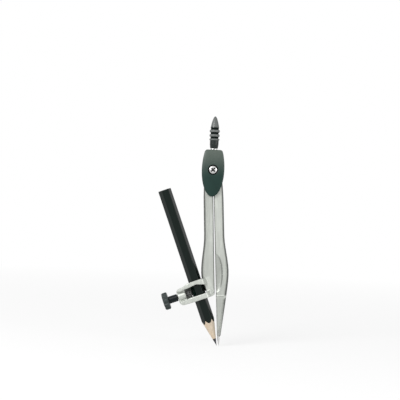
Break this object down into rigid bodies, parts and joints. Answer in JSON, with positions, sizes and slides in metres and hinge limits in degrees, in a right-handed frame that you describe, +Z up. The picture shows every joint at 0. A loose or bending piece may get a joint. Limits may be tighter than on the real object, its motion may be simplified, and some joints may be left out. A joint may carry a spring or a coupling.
{
  "type": "drawing compass",
  "caption": "Drawing compass with a forked plastic head, a needle leg and a pencil leg, whose cast ring and thumb screw clamp a hexagonal pencil.",
  "frame": {"origin": "in the middle of the grip, on its axis, where the fingers hold the compass", "axes": "+Z up along the grip, away from the points; +Y out of the back of the head; +X to the needle leg's side"},
  "size_m": [0.0445, 0.011, 0.1378],
  "materials": {
    "shell_plastic": "satin moulded, dark green grey",
    "grip_plastic": "glossy moulded, near black",
    "knob_plastic": "satin moulded, dark grey",
    "cast_metal": "satin plated die casting",
    "bright_steel": "bright plated",
    "nylon": "natural, matte",
    "pencil_lacquer": "glossy lacquer on cedar, bare on the sharpened cone",
    "graphite": "dull graphite"
  },
  "bodies": {
    "head": {"front_cover": "shell_plastic", "rear_cover": "shell_plastic", "grip": "grip_plastic", "grip_stem": "bright_steel", "pivot_screw": "bright_steel", "pivot_nut": "bright_steel", "front_washer": "nylon", "middle_washer": "nylon", "rear_washer": "nylon"},
    "needle_leg": {"needle_leg": "cast_metal", "needle": "bright_steel"},
    "pencil_leg": {"pencil_leg": "cast_metal"},
    "pencil": {"pencil_casing": "pencil_lacquer", "pencil_lead": "graphite"},
    "clamp_screw": {"clamp_screw": "bright_steel"},
    "thumb_knob": {"thumb_knob": "knob_plastic"}
  },
  "joints": [
    {"name": "needle_leg_open", "type": "hinge", "parent": "head", "child": "needle_leg", "pos_m": [0, 0, -0.022], "axis": [0, -1, 0], "range_deg": [0, 58]},
    {"name": "pencil_leg_open", "type": "hinge", "parent": "head", "child": "pencil_leg", "pos_m": [0, 0, -0.022], "axis": [0, 1, 0], "range_deg": [0, 58]},
    {"name": "pencil_slide", "type": "slide", "parent": "pencil_leg", "child": "pencil", "axis": [-0.3599, 0, 0.933], "range_m": [0, 0.03]},
    {"name": "clamp_travel", "type": "slide", "parent": "pencil_leg", "child": "clamp_screw", "axis": [-0.933, 0, -0.3599], "range_m": [0, 0.004]},
    {"name": "knob_turn", "type": "hinge", "parent": "clamp_screw", "child": "thumb_knob", "pos_m": [-0.00564, 0, -0.09467], "axis": [-0.933, 0, -0.3599], "range_deg": [0, 2060]}
  ],
  "couplings": [
    {"joint": "knob_turn", "follows": "clamp_travel", "rad_per_m": 8976}
  ]
}
